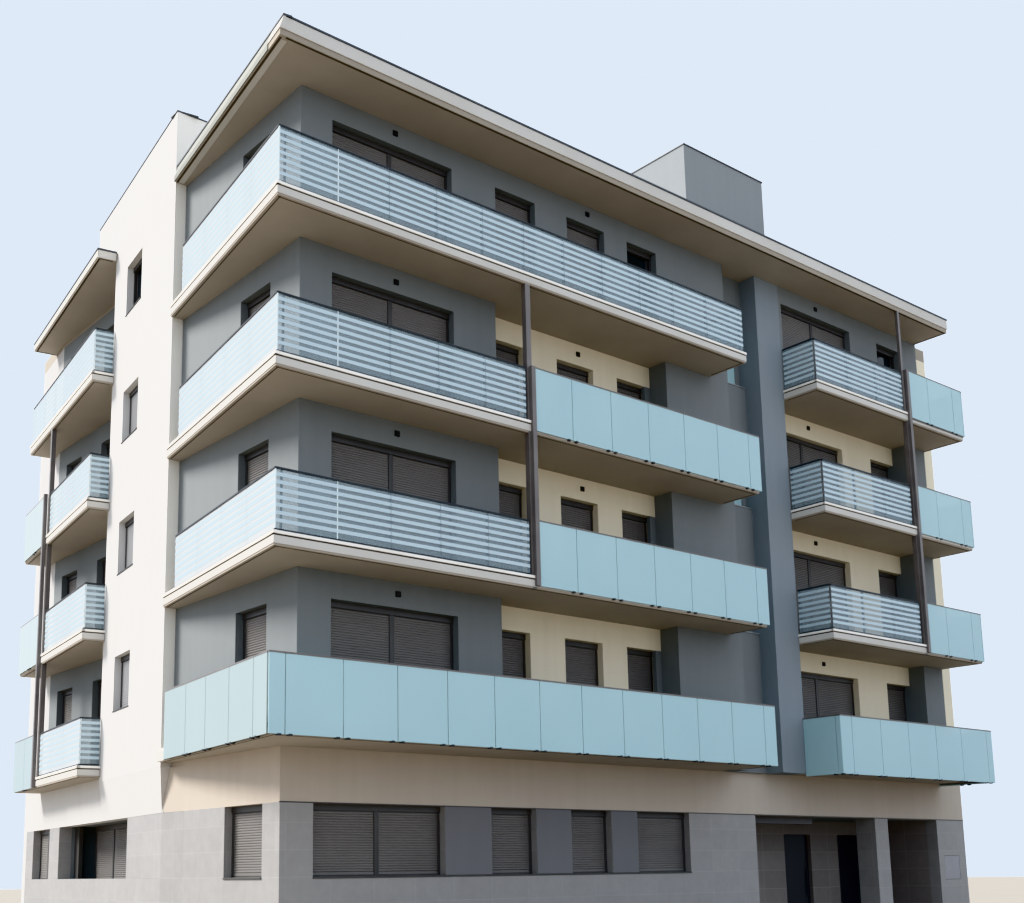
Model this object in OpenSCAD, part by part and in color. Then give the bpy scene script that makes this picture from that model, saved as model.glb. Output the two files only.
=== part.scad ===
// Modern corner apartment block, ground floor and four upper storeys.
// Millimetres, +Z up. X runs along the front facade, -Y faces the front street.
// The side street line is turned 8.35 degrees from the front's perpendicular.
// Origin: centre of the underside of the ground slab, at pavement level.

/* [Storeys] */
// Top of the first floor slab above the pavement
first_floor_z = 3960; // [3600:10:4600]
// Floor to floor height of the upper storeys
storey_h = 3000; // [2800:10:3300]
// Thickness of the floor slabs and balconies
slab_t = 235; // [180:5:300]
// Underside of the main roof slab
roof_z = 15690; // [15000:10:16500]
// Thickness of the roof slab
roof_t = 350; // [200:10:450]
// Ground slab thickness
base_t = 150; // [100:10:300]

/* [Walls] */
// Thickness of the outer walls
wall_t = 300; // [200:10:400]
// Top of the tiled ground floor walls and head of the ground floor windows
tile_z = 2790; // [2500:10:3200]
// Sill height of the ground floor windows
sill_z = 1555; // [1000:5:1800]
// Head of the upper windows above their floor
head_h = 2290; // [2100:10:2500]
// Depth of the main front wall behind the balcony edge
front_y = 1520; // [1200:10:1800]
// Depth of the projecting grey volumes behind the balcony edge
grey_y = 1020; // [900:10:1200]
// Right end of the building
end_x = 22100; // [20000:50:24000]
// Rear face of the building
rear_y = 17200; // [14000:50:19000]
// Top of the white side block
block_z = 17300; // [16500:50:18500]

/* [Balconies] */
// Right end of the top corner balcony
corner_end = 12020; // [11000:10:12600]
// Right end of the corner balconies of the first three storeys
low_end = 12220; // [11000:10:12600]
// Left end of the right balconies
bay_x = 14650; // [14000:10:15000]
// Right end of the right balconies
bay_end = 21050; // [20000:10:21500]
// Projection of the left balconies beyond the side street line
left_out = 600; // [400:10:900]
// Height of the glass above a balcony floor
glass_h = 1040; // [900:10:1200]
// Thickness of a glass panel
glass_t = 20; // [10:1:30]

/* [Doors] */
// Clear width of a porch doorway
door_w = 1090; // [900:10:1200]
// Head of a porch doorway
door_z = 2450; // [2300:10:2700]
// Front face of the porch back wall
porch_y = 3500; // [3000:10:4500]

/* [Hidden] */
// Origin offset from the balcony corner to the middle of the plan
mid = [11000, 9000];
// Side street turn
turn = 8.35;
tc = cos(turn);
ts = sin(turn);
// Face of the ground floor and of the end wall along the side street, and its start
face = 40;
blk0 = 5710;
// Side edge of the corner balconies, and of the roof below and above its step
side_a = -140;
roof_a = [-130, -50];
// Upper storeys of the white block: face, front end, far end along the street, underside
block_a = -105;
block_y = 5450;
blk1 = 9765;
block_far = 11330;
over_z = 3640;
// Start of the left end wall along the side street
lend = 15170;
// Far end of the side street facade
far = rear_y / tc;
// Grey wall of the left bay and the inner corner of its recess
left_x = 2240;
bay_y0 = 9660;
// Near end, underside and thickness of the left bay's balconies and canopy
near = 9650;
canopy_z = 15770;
canopy_t = 200;
// Side wall of the corner volume, outside and inside
side_x = 940;
side_in = side_x + wall_t;
// Right end of the upper grey walls of the right bay
top_end = 20700;
// Windows of the front wall, left and right edges
big = [1620, 4430];
wins = [[5560, 6680], [7630, 8710], [9440, 10380]];
twins = [[5560, 6650], [7560, 8680], [9390, 10330]];
gwins = [[1590, 4440], [5560, 6700], [7640, 8760], [9530, 11140]];
bay_wins = [[14750, 17770], [19030, 20080]];
bay_tops = [[14750, 17600], [18810, 19860]];
// Front of the recess between the two groups of balconies, and its low windows
recess_y = 1400;
low_win = [12800, 13600];
// Left face of the end volume, the grey jamb of the small windows beside it
vol_x = 20080;
// Balcony doors of the left bay
left_doors = [[11150, 12320], [13540, 14500]];
// Windows of the white block along the street
block_win = [7700, 8830];
// Side window of the corner volume
side_win = [2020, 3095];
// Porch openings, column and doors
porch0 = 13380;
col0 = 18030;
col1 = 18580;
porch1 = 20800;
door1 = 17030;
door2 = 19300;
inset = 170;
// Depth of a shutter or window board in its opening
board_t = 60;
// Clearance where skewed pieces meet
gap = 2;

function fz(k) = first_floor_z + (k - 1) * storey_h;
// Plan point at a behind and b along the street line
function wp(a, b) = [a * tc + b * ts, -a * ts + b * tc];
// Plan y at x of a line square to the side street, b along it
function square_y(x, b) = b / tc - x * ts / tc;
// Plan x at y of the line a behind the street line
function street_x(a, y) = a / tc + y * ts / tc;
// Plan y where the line a behind the street line reaches x
function bend_y(x, a) = (x - a / tc) * tc / ts;

module site() translate([-mid[0], -mid[1], 0]) children();
module street() rotate([0, 0, -turn]) children();
module box(a, b) translate(a) cube(b - a);
module plate(pts, z, t) translate([0, 0, z]) linear_extrude(t) polygon(pts);

// Front windows: one opening per storey and window, cut through a wall at depth y
module front_cuts(list, y, k0, k1) {
    for (k = [k0:k1]) {
        for (w = list) {
            box([w[0], y - 50, fz(k) + 20], [w[1], y + wall_t + 50, fz(k) + head_h]);
        }
    }
}

// Closed roller shutter boards with their frames, set back in the openings
module front_boards(list, y, k0, k1) {
    for (k = [k0:k1]) {
        for (w = list) {
            box([w[0], y + inset, fz(k) + 20], [w[1], y + inset + board_t, fz(k) + head_h]);
        }
    }
}

module ground_slab() {
    color("#8a8780") site()
        plate([[930, 1500], [end_x, 1500], [end_x, rear_y], wp(face, far),
            wp(face, blk0), [930, 5650]], 0, base_t);
}

module tile_front_wall() {
    color("#a5a5aa") site() difference() {
        box([930, 1500, base_t], [porch0, 1500 + wall_t, tile_z]);
        for (w = gwins) {
            box([w[0], 1450, sill_z], [w[1], 1850 + wall_t, tile_z + 50]);
        }
    }
}

// End pier with the recess of the meter cupboard
module tile_end_pier() {
    color("#a5a5aa") site() difference() {
        box([porch1, 1500, base_t], [end_x, 1500 + wall_t, tile_z]);
        box([21045, 1450, 1265], [21765, 1700, 1875]);
    }
}

module tile_side_wall() {
    color("#c6c6c9") site() difference() {
        plate([[930, 1500 + wall_t], [930 + wall_t, 1500 + wall_t],
            [930 + wall_t, square_y(930 + wall_t, blk0 + 58)],
            [930, square_y(930, blk0 + 58)]], base_t, tile_z - base_t);
        box([880, 2060, sill_z], [980 + wall_t, 3360, tile_z + 50]);
    }
}

// Side street wall: one course up to the sills, then the piers beside the openings
module tile_street_wall() {
    color("#c6c6c9") site() street() {
        box([face, blk0 + 60, base_t + 1], [face + wall_t, far - wall_t, sill_z]);
        for (p = [[blk0 + 60, 8000], [13600, 14560], [16280, far - wall_t]]) {
            box([face, p[0], sill_z + 2], [face + wall_t, p[1], tile_z]);
        }
    }
}

module cream_band() {
    color("#d8c8ac") site() {
        box([930, 1500, tile_z], [end_x, 1500 + wall_t, fz(1) - slab_t]);
        plate([[930, 1502 + wall_t], [930 + wall_t, 1502 + wall_t],
            [930 + wall_t, block_y - gap], [930, block_y - gap]],
            tile_z, fz(1) - slab_t - tile_z);
        plate([[930, block_y], [930 + wall_t, block_y],
            [930 + wall_t, square_y(930 + wall_t, blk0 - gap)],
            [930, square_y(930, blk0 - gap)]], tile_z, over_z - gap - tile_z);
    }
}

module porch_column() {
    color("#9c9ca2") site()
        box([col0, 1500, base_t], [col1, 2050, tile_z]);
}

module porch_side_walls() {
    color("#8d8a88") site() {
        box([porch0 - wall_t, 1500 + wall_t, base_t], [porch0, porch_y, tile_z]);
        box([porch1, 1500 + wall_t, base_t], [porch1 + wall_t, porch_y, tile_z]);
    }
}

module porch_back_wall() {
    color("#8d8a88") site() {
        box([porch0 - wall_t, porch_y, base_t], [door1, porch_y + wall_t, door_z]);
        box([door1 + door_w, porch_y, base_t], [door2, porch_y + wall_t, door_z]);
        box([door2 + door_w, porch_y, base_t], [porch1 + wall_t, porch_y + wall_t, door_z]);
    }
}

module porch_lintel() {
    color("#8d8a88") site()
        box([porch0 - wall_t, porch_y, door_z],
            [porch1 + wall_t, porch_y + wall_t, fz(1) - slab_t]);
}

module porch_ceiling() {
    color("#b8b0a4") site()
        box([porch0, 1500 + wall_t, tile_z], [porch1, porch_y, tile_z + 100]);
}

// Entrance door leaf with a pull bar on its street side and hinge barrels inside
module leaf(x) {
    box([x + 6, porch_y + 100, base_t + 8], [x + door_w - 8, porch_y + 145, door_z - 8]);
    for (z = [350, 1250, 2150]) {
        translate([x + 18, porch_y + 151, z]) cylinder(d = 24, h = 120, $fn = 48);
    }
    translate([x + door_w - 120, porch_y + 60, 900]) cylinder(d = 32, h = 700, $fn = 48);
    for (z = [1000, 1500]) {
        translate([x + door_w - 120, porch_y + 60, z]) rotate([-90, 0, 0])
            cylinder(d = 20, h = 50, $fn = 32);
    }
}

module porch_door_left() {
    color("#2b2a2c") site() leaf(door1);
}

module porch_door_right() {
    color("#2b2a2c") site() leaf(door2);
}

// Hatch of the meter cupboard with a round pull and two hinge barrels
module meter_hatch() {
    color("#b9b9bd") site() {
        box([21052, 1502, 1272], [21758, 1520, 1868]);
        for (z = [1350, 1730]) {
            translate([21752, 1498, z]) cylinder(d = 14, h = 60, $fn = 32);
        }
        translate([21120, 1502, 1570]) rotate([90, 0, 0]) cylinder(d = 24, h = 6, $fn = 32);
    }
}

module shutter_box() {
    color("#6b6a6c") site()
        box([porch0, 1500 + wall_t, tile_z - 170], [15900, 1500 + wall_t + 220, tile_z]);
}

// Recessed side street balcony on the ground floor: end walls, back wall, ceiling
module loggia_walls() {
    color("#55585c") site() street() {
        side = face + wall_t + gap;
        box([side, 7700, base_t + 1], [1600, 7998, fz(1) - slab_t - gap]);
        box([side, 13602, base_t + 1], [1600, 13900, fz(1) - slab_t - gap]);
        difference() {
            box([1300, 8000, base_t + 1], [1600, 13600, tile_z - gap]);
            box([1250, 8300, sill_z - 900], [1650, 11900, tile_z - 250]);
        }
        box([side, 8000, tile_z], [1600, 13600, tile_z + 100]);
    }
}

module corner_front_wall() {
    color("#5c6367") site() difference() {
        union() {
            box([side_x, grey_y, fz(1)], [5500, grey_y + wall_t, roof_z]);
            box([5500 - wall_t, grey_y, fz(1)], [5500, front_y + wall_t, fz(4) - slab_t]);
        }
        front_cuts([big], grey_y, 1, 4);
    }
}

module corner_side_wall() {
    color("#85898c") site() difference() {
        box([side_x, grey_y + wall_t, fz(1)], [side_in, block_y - gap, roof_z]);
        for (k = [1:4]) {
            box([side_x - 50, side_win[0], fz(k) + 20],
                [side_in + 50, side_win[1], fz(k) + head_h]);
        }
    }
}

module cream_wall_mid() {
    color("#d8c8ac") site() difference() {
        box([5500, front_y, fz(1)], [10500, front_y + wall_t, fz(4) - slab_t]);
        front_cuts(wins, front_y, 1, 3);
    }
}

module top_wall_mid() {
    color("#5c6367") site() difference() {
        box([5500, grey_y, fz(4)], [10500, grey_y + wall_t, roof_z]);
        front_cuts(twins, grey_y, 4, 4);
    }
}

// Grey volume beside the recess; its right end runs past the balconies to their level
module grey_volume() {
    color("#5c6367") site() {
        box([10500, grey_y, fz(1)], [12640, grey_y + wall_t, roof_z]);
        box([10500, grey_y, fz(1)], [10500 + wall_t, front_y + wall_t, fz(4) - slab_t]);
        box([12640 - wall_t, grey_y, fz(1) - slab_t],
            [12640, front_y + wall_t, roof_z]);
        box([corner_end, grey_y, fz(1) - slab_t], [12640, grey_y + wall_t, roof_z]);
    }
}

// Wall of the recess, set back over each floor for a low window
module recess_wall() {
    color("#666c70") site() difference() {
        box([12640, recess_y, fz(1) - slab_t], [13760, front_y + wall_t, roof_z]);
        for (k = [2:4]) {
            box([12600, recess_y - 50, fz(k)], [13800, recess_y + 150, fz(k) + 1200]);
            box([low_win[0], recess_y, fz(k) + 30],
                [low_win[1], front_y + wall_t + 50, fz(k) + 1100]);
        }
    }
}

module grey_pier() {
    color("#5c6367") site()
        box([13760, 950, fz(1) - slab_t], [bay_x, front_y + wall_t, roof_z]);
}

// Cream wall behind the right balconies, with a strip up to the roof at its end
module cream_wall_right() {
    color("#d8c8ac") site() difference() {
        union() {
            box([bay_x, front_y, fz(1)], [end_x, front_y + wall_t, fz(4) - slab_t]);
            box([top_end, front_y, fz(4) - slab_t - 50],
                [end_x, front_y + wall_t, roof_z]);
        }
        front_cuts([bay_wins[0], [bay_wins[1][0], vol_x + 302]], front_y, 1, 3);
    }
}

module top_wall_right() {
    color("#5c6367") site() difference() {
        union() {
            box([bay_x, 950, fz(4)], [top_end, 950 + wall_t, roof_z]);
            box([top_end - wall_t, 950, fz(4)], [top_end, front_y, roof_z]);
            box([top_end - wall_t, 950, fz(4)],
                [top_end - 2, front_y + wall_t, roof_z]);
        }
        front_cuts(bay_tops, 950, 4, 4);
    }
}

module end_volume() {
    color("#5c6367") site() for (k = [1:3]) {
        box([vol_x, 1080, fz(k)], [20950, front_y, fz(k + 1) - slab_t]);
        box([vol_x, 1080, fz(k) + 21], [vol_x + 300, front_y + wall_t, fz(k) + head_h - 1]);
    }
}

// White block of the side street, standing out over the band above the tiles
module white_street_wall() {
    color("#f4eee8") site() {
        difference() {
            plate([[street_x(block_a, block_y), block_y],
                [street_x(face + wall_t, block_y), block_y],
                wp(face + wall_t, blk1), wp(block_a, blk1)], over_z, block_z - over_z);
            street() for (k = [1:4]) {
                box([block_a - 50, block_win[0], fz(k) + 1110],
                    [face + wall_t + 50, block_win[1], fz(k) + head_h]);
            }
        }
        street() box([face, blk0, tile_z + 1],
            [face + wall_t, far - wall_t, over_z - gap]);
    }
}

module white_return_wall() {
    color("#f4eee8") site()
        plate([wp(face + wall_t + gap, blk1 - 310), [left_x + wall_t, bay_y0 - 300],
            [left_x + wall_t, bay_y0 - gap], wp(face + wall_t + gap, blk1 - 10)],
            fz(1) - slab_t, roof_z - fz(1) + slab_t - 1);
}

// Recessed wall of the left bay, then the end wall on the side street line
module left_bay_wall() {
    color("#85898c") site() difference() {
        plate([[left_x, bay_y0], [left_x + wall_t, bay_y0],
            [left_x + wall_t, bend_y(left_x + wall_t, face + wall_t)],
            [street_x(face + wall_t, rear_y - 303), rear_y - 303],
            [street_x(face, rear_y - 303), rear_y - 303],
            [left_x, bend_y(left_x, face)]], fz(1) - slab_t,
            roof_z - fz(1) + slab_t - 1);
        for (k = [1:4]) {
            for (w = left_doors) {
                box([left_x - 50, w[0], fz(k) + 20],
                    [left_x + wall_t + 50, w[1], fz(k) + head_h]);
            }
        }
    }
}

module party_wall() {
    color("#c9c2b6") site() {
        box([end_x - wall_t, 1500 + wall_t, base_t],
            [end_x, rear_y - wall_t, fz(1) - slab_t]);
        box([end_x - wall_t, front_y + wall_t, base_t],
            [end_x, rear_y - wall_t, roof_z]);
    }
}

module rear_wall() {
    color("#d8c8ac") site() difference() {
        plate([[street_x(face, rear_y - wall_t), rear_y - wall_t],
            [end_x, rear_y - wall_t], [end_x, rear_y],
            [street_x(face, rear_y), rear_y]], base_t, roof_z - base_t);
        for (k = [0:4]) {
            for (x = [13200, 15600, 18000, 20000]) {
                z = k == 0 ? sill_z : fz(k) + 900;
                zt = k == 0 ? tile_z : fz(k) + head_h;
                box([x, rear_y - wall_t - 50, z], [x + 1200, rear_y + 50, zt]);
            }
        }
    }
}

module floor_slabs() {
    color("#b5ad9f") site() for (k = [1:4]) {
        fy = k == 4 ? grey_y + wall_t : front_y + wall_t;
        plate([[side_in, 1320], [5200, 1320], [5200, fy], [10800, fy], [10800, 1320],
            [12340, 1320], [12340, 1820], [end_x - wall_t, 1820],
            [end_x - wall_t, rear_y - wall_t],
            [street_x(face + wall_t + gap, rear_y - wall_t), rear_y - wall_t],
            [left_x + wall_t, bend_y(left_x + wall_t, face + wall_t + gap)],
            [left_x + wall_t, bay_y0 - 300], wp(face + wall_t + gap, blk1 - 312),
            [street_x(face + wall_t + gap, block_y - gap), block_y - gap],
            [side_in, block_y - gap]], fz(k) - slab_t, slab_t);
    }
}

// Outline of the balcony around the street corner on storey k
function corner_outline(k) = let (near_x = street_x(side_a, 0),
    back = block_y - gap, back_x = street_x(side_a, block_y - gap)) k == 1
    ? [[near_x, 0], [low_end, 0], [low_end, grey_y], [corner_end, grey_y],
        [corner_end, 1320], [10800, 1320], [10800, 1820], [5200, 1820], [5200, 1320],
        [side_in, 1320], [side_in, back], [back_x, back]]
    : k == 4
    ? [[near_x, 0], [corner_end, 0], [corner_end, grey_y], [10500, grey_y],
        [10500, 1320], [5500, 1320], [5500, grey_y], [side_x, grey_y],
        [side_x, back], [back_x, back]]
    : [[near_x, 0], [low_end, 0], [low_end, grey_y], [10500, grey_y],
        [10500, front_y], [5500, front_y], [5500, grey_y], [side_x, grey_y],
        [side_x, back], [back_x, back]];

// Balcony slab around the street corner, with a notch where the hanger post passes
module corner_slab(k) {
    difference() {
        plate(corner_outline(k), fz(k) - slab_t, slab_t);
        if (k == 2 || k == 3) {
            box([5380, -50, fz(k) - slab_t - 50], [5500, 110, fz(k) + 50]);
        }
    }
}

module corner_balconies() {
    color("#d6ccbe") site() for (k = [1:4]) {
        corner_slab(k);
    }
}

// Right balconies with the post notches, and the slab strips below the walls behind
module right_balconies() {
    color("#d6ccbe") site() {
        for (k = [1:4]) {
            difference() {
                box([bay_x, 0, fz(k) - slab_t], [bay_end, front_y, fz(k)]);
                if (k > 1) {
                    box([18390, -50, fz(k) - slab_t - 50], [18510, 110, fz(k) + 50]);
                }
            }
        }
        box([bay_x, front_y + gap, fz(1) - slab_t], [end_x, 1820, fz(1)]);
        box([bay_x, front_y + gap, fz(4) - slab_t], [top_end, 1820, fz(4)]);
    }
}

module left_balconies() {
    color("#d6ccbe") site() for (k = [1:4]) {
        difference() {
            plate([wp(-left_out, near), wp(block_a - gap, near),
                wp(block_a - gap, blk1 + gap), [left_x - gap, bay_y0 + gap],
                [left_x - gap, 15000],
                wp(face - gap, lend + gap), wp(face - gap, 15750),
                wp(-left_out, 15750)], fz(k) - slab_t, slab_t);
            if (k < 4) {
                street() box([-left_out - 50, 13340, fz(k) - slab_t - 50],
                    [-left_out + 110, 13460, fz(k) + 50]);
            }
        }
    }
}

// One layer of the roof with its side edge at a: the strip over the front balconies, then
// the main slab around the white block and up to the wall of the left bay
module roof_layer(a, z, t) {
    plate([[street_x(a, 0), 0], [top_end, 0], [top_end, front_y - gap],
        [street_x(a, front_y - gap), front_y - gap]], z, t);
    plate([[street_x(a, front_y), front_y], [end_x, front_y], [end_x, rear_y],
        [street_x(face, rear_y), rear_y], [left_x, bend_y(left_x, face)],
        [left_x, bay_y0], wp(face + wall_t + gap, blk1 + gap),
        [street_x(face + wall_t + gap, block_y - gap), block_y - gap],
        [street_x(a, block_y - gap), block_y - gap]], z, t);
}

// Roof with its stepped side edge, and the thinner canopy over the left bay
module roof_slab() {
    color("#cfc6b8") site() {
        roof_layer(roof_a[0], roof_z, 110);
        roof_layer(roof_a[1], roof_z + 110, roof_t - 110);
        plate([wp(-550, near + 50), wp(block_a - gap, near + 50),
            wp(block_a - gap, blk1 + gap), [left_x - gap, bay_y0 + gap],
            [left_x - gap, 14960], wp(face - gap, lend + gap),
            wp(face - gap, 16000), wp(-550, 16000)], canopy_z, canopy_t);
    }
}

module white_parapet() {
    color("#f4eee8") site() {
        foot = roof_z + roof_t + 1;
        street() {
            box([block_a, blk1 + gap, canopy_z + canopy_t + 1],
                [face - gap, block_far, block_z]);
            box([face - gap, blk1 + gap, foot], [face + wall_t, block_far, block_z]);
            box([face + wall_t + gap, block_far - 300, foot], [3500, block_far, block_z]);
        }
        plate([[street_x(face + wall_t + gap, block_y), block_y], [4500, block_y],
            [4500, block_y + 300],
            [street_x(face + wall_t + gap, block_y + 300), block_y + 300]],
            foot, block_z - foot);
    }
}

module stair_head() {
    color("#9aa0a2") site() difference() {
        box([12180, 1600, roof_z + roof_t], [15170, 5600, 18900]);
        box([12380, 1800, roof_z + roof_t - 50], [14970, 5400, 18700]);
    }
}

module corner_glass() {
    color("#a7c9d2", 0.6) site() {
        for (k = [2:4]) {
            e = k == 4 ? corner_end - 20 : 5370;
            box([-100, 30, fz(k)], [e, 30 + glass_t, fz(k) + glass_h]);
            street() box([side_a + 30, 75, fz(k) + 1],
                [side_a + 30 + glass_t, 5470, fz(k) + glass_h]);
        }
        box([corner_end - 50, 70, fz(4)],
            [corner_end - 30, grey_y - 20, fz(4) + glass_h]);
        for (k = [1:3]) {
            x = k == 1 ? -235 : 5520;
            z = k == 1 ? fz(k) - 230 : fz(k) - 190;
            box([x, -30 - glass_t, z], [low_end + 28, -30, fz(k) + glass_h]);
            box([low_end + 30, -50, z],
                [low_end + 30 + glass_t, grey_y - 20, fz(k) + glass_h]);
        }
        street() box([side_a - 85, -15, fz(1) - 230],
            [side_a - 65, 5440, fz(1) + glass_h]);
    }
}

module right_glass() {
    color("#a7c9d2", 0.6) site() {
        for (k = [2:4]) {
            box([bay_x + 60, 30, fz(k)], [k == 4 ? 18335 : 18380, 30 + glass_t,
                fz(k) + glass_h]);
            box([bay_x + 30, 60, fz(k)], [bay_x + 50, 940, fz(k) + glass_h]);
            box([18520, -30 - glass_t, fz(k) - 190],
                [bay_end + 28, -30, fz(k) + glass_h]);
            box([bay_end + 30, -50, fz(k) - 190],
                [bay_end + 50, front_y - 20, fz(k) + glass_h]);
        }
        box([bay_x - 28, -30 - glass_t, fz(1) - 230],
            [bay_end + 28, -30, fz(1) + glass_h]);
        box([bay_x - 50, -50, fz(1) - 230], [bay_x - 30, 940, fz(1) + glass_h]);
        box([bay_end + 30, -50, fz(1) - 230],
            [bay_end + 50, front_y - 20, fz(1) + glass_h]);
    }
}

module left_glass() {
    color("#a7c9d2", 0.6) site() street() {
        for (k = [1:4]) {
            e = k == 4 ? 15720 : 13330;
            box([-left_out + 30, near + 50, fz(k) + 1],
                [-left_out + 50, e, fz(k) + glass_h]);
            box([-left_out + 70, near + 30, fz(k) + 1],
                [block_a - 20, near + 50, fz(k) + glass_h]);
        }
        for (k = [1:3]) {
            box([-left_out - 50, 13470, fz(k) - 190],
                [-left_out - 30, 15750, fz(k) + glass_h]);
        }
    }
}

// Steel posts that hang between the slabs at the balcony edges
module hanger_posts() {
    color("#565459") site() {
        box([5380, 0, fz(2) - slab_t], [5500, 110, fz(4) - slab_t]);
        box([18390, 0, fz(2) - slab_t], [18510, 110, fz(4)]);
        box([18345, 0, fz(4)], [18430, 75, roof_z]);
        street() box([-left_out, 13340, fz(1) - slab_t],
            [-left_out + 110, 13460, fz(4) - slab_t]);
    }
}

// Steel rails along the slab edges that carry the frosted glass
module glass_rails() {
    color("#565459") site() {
        for (k = [1:3]) {
            x0 = k == 1 ? street_x(side_a, 0) : 5520;
            box([x0, -30, fz(k) - 140], [low_end, 0, fz(k) - 80]);
            box([low_end, gap, fz(k) - 140], [low_end + 30, grey_y - 20, fz(k) - 80]);
        }
        for (k = [1:4]) {
            x0 = k == 1 ? bay_x : 18520;
            box([x0, -30, fz(k) - 140], [bay_end, 0, fz(k) - 80]);
            box([bay_end, gap, fz(k) - 140], [bay_end + 30, front_y - 20, fz(k) - 80]);
        }
        box([bay_x - 30, gap, fz(1) - 140], [bay_x, 900, fz(1) - 80]);
        street() {
            box([side_a - 64, 40, fz(1) - 140], [side_a - 1, 5430, fz(1) - 80]);
            for (k = [1:3]) {
                box([-left_out - 29, 13480, fz(k) - 140],
                    [-left_out - 1, 15700, fz(k) - 80]);
            }
        }
    }
}

module corner_shutters() {
    color("#5a5552") site() {
        front_boards([big], grey_y, 1, 4);
        front_boards(wins, front_y, 1, 3);
        front_boards(twins, grey_y, 4, 4);
        for (k = [1:4]) {
            box([side_x + inset, side_win[0], fz(k) + 20],
                [side_x + inset + board_t, side_win[1], fz(k) + head_h]);
        }
    }
}

module right_shutters() {
    color("#5a5552") site() {
        front_boards(bay_wins, front_y, 1, 3);
        front_boards(bay_tops, 950, 4, 4);
        for (k = [2:4]) {
            box([low_win[0], recess_y + 200, fz(k) + 30],
                [low_win[1], recess_y + 200 + board_t, fz(k) + 1100]);
        }
    }
}

module ground_shutters() {
    color("#5a5552") site() {
        for (w = gwins) {
            box([w[0], 1500 + inset, sill_z], [w[1], 1500 + inset + board_t, tile_z]);
        }
        box([930 + inset, 2060, sill_z], [930 + inset + board_t, 3360, tile_z]);
    }
}

module street_windows() {
    color("#3f4347") site() {
        street() for (k = [1:4]) {
            box([block_a + inset, block_win[0], fz(k) + 1110],
                [block_a + inset + board_t, block_win[1], fz(k) + head_h]);
        }
        street() box([face + 220, 14560, sill_z], [face + 270, 16280, tile_z]);
        street() box([1400, 8300, sill_z - 900], [1450, 11900, tile_z - 250]);
        for (k = [1:4]) {
            for (w = left_doors) {
                box([left_x + inset, w[0], fz(k) + 20],
                    [left_x + inset + board_t, w[1], fz(k) + head_h]);
            }
        }
    }
}

module rear_windows() {
    color("#5a5552") site() for (k = [0:4]) {
        for (x = [13200, 15600, 18000, 20000]) {
            z = k == 0 ? sill_z : fz(k) + 900;
            zt = k == 0 ? tile_z : fz(k) + head_h;
            box([x, rear_y - inset - board_t, z], [x + 1200, rear_y - inset, zt]);
        }
    }
}

ground_slab();
tile_front_wall();
tile_side_wall();
tile_street_wall();
tile_end_pier();
cream_band();
porch_column();
porch_side_walls();
porch_back_wall();
porch_lintel();
porch_ceiling();
porch_door_left();
porch_door_right();
meter_hatch();
shutter_box();
loggia_walls();
corner_front_wall();
corner_side_wall();
cream_wall_mid();
top_wall_mid();
grey_volume();
recess_wall();
grey_pier();
cream_wall_right();
top_wall_right();
end_volume();
white_street_wall();
white_return_wall();
left_bay_wall();
party_wall();
rear_wall();
floor_slabs();
corner_balconies();
right_balconies();
left_balconies();
roof_slab();
white_parapet();
stair_head();
corner_glass();
right_glass();
left_glass();
hanger_posts();
glass_rails();
corner_shutters();
right_shutters();
ground_shutters();
street_windows();
rear_windows();
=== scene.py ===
"""Corner apartment block, ground floor and four upper storeys, finished for the photograph's view.

Metres, +Z up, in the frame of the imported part: X runs along the front, -Y faces the front street.
Sizes are measured from the street corner of the balconies, and each new mesh is moved to the
frame when it is finished.
"""
import math

import bmesh
import bpy
from mathutils import Matrix, Vector


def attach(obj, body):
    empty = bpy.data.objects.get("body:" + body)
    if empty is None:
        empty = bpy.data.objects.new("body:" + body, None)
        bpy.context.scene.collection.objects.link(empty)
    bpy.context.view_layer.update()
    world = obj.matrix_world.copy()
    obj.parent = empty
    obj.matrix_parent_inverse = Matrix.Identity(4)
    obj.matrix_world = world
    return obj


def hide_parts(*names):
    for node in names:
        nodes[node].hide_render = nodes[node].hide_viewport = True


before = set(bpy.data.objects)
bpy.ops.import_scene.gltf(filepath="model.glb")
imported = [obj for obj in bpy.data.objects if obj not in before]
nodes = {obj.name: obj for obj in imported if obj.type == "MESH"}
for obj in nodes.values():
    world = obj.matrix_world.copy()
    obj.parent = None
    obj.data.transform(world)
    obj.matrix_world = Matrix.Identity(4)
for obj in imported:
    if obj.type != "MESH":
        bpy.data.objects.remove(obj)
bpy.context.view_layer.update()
scene = bpy.context.scene


# Camera
# A standing eye across the crossing, aimed up at the block's corner. The shift keeps the
# verticals of the photograph, whose frame is a crop from a wider picture.
eye = (-21.443, -26.17, 1.6)
aim_deg = (100.3, 0.703, -38.41)
focal_px = 1295.35
photo_width_px = 1024
lens = bpy.data.cameras.new("street_camera")
lens.sensor_width = 36
lens.lens = focal_px * lens.sensor_width / photo_width_px
lens.shift_x = 0.0683
lens.shift_y = 0.1812
lens.clip_end = 500
camera = bpy.data.objects.new("street_camera", lens)
camera.location = eye
camera.rotation_euler = [math.radians(angle) for angle in aim_deg]
scene.collection.objects.link(camera)
scene.camera = camera
scene.view_settings.view_transform = "Khronos PBR Neutral"


# Light and floor
# Sun over the side street from behind the front's plane, so the side street walls are lit and
# the front lies in open shade, under a pale even sky. The floor is a pale matt studio floor.
def linear(hex_colour):
    """The linear RGBA value of an sRGB hex colour"""
    channels = [int(hex_colour[i:i + 2], 16) / 255 for i in (1, 3, 5)]
    return [c / 12.92 if c <= 0.04045 else ((c + 0.055) / 1.055) ** 2.4 for c in channels] + [1.0]


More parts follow.
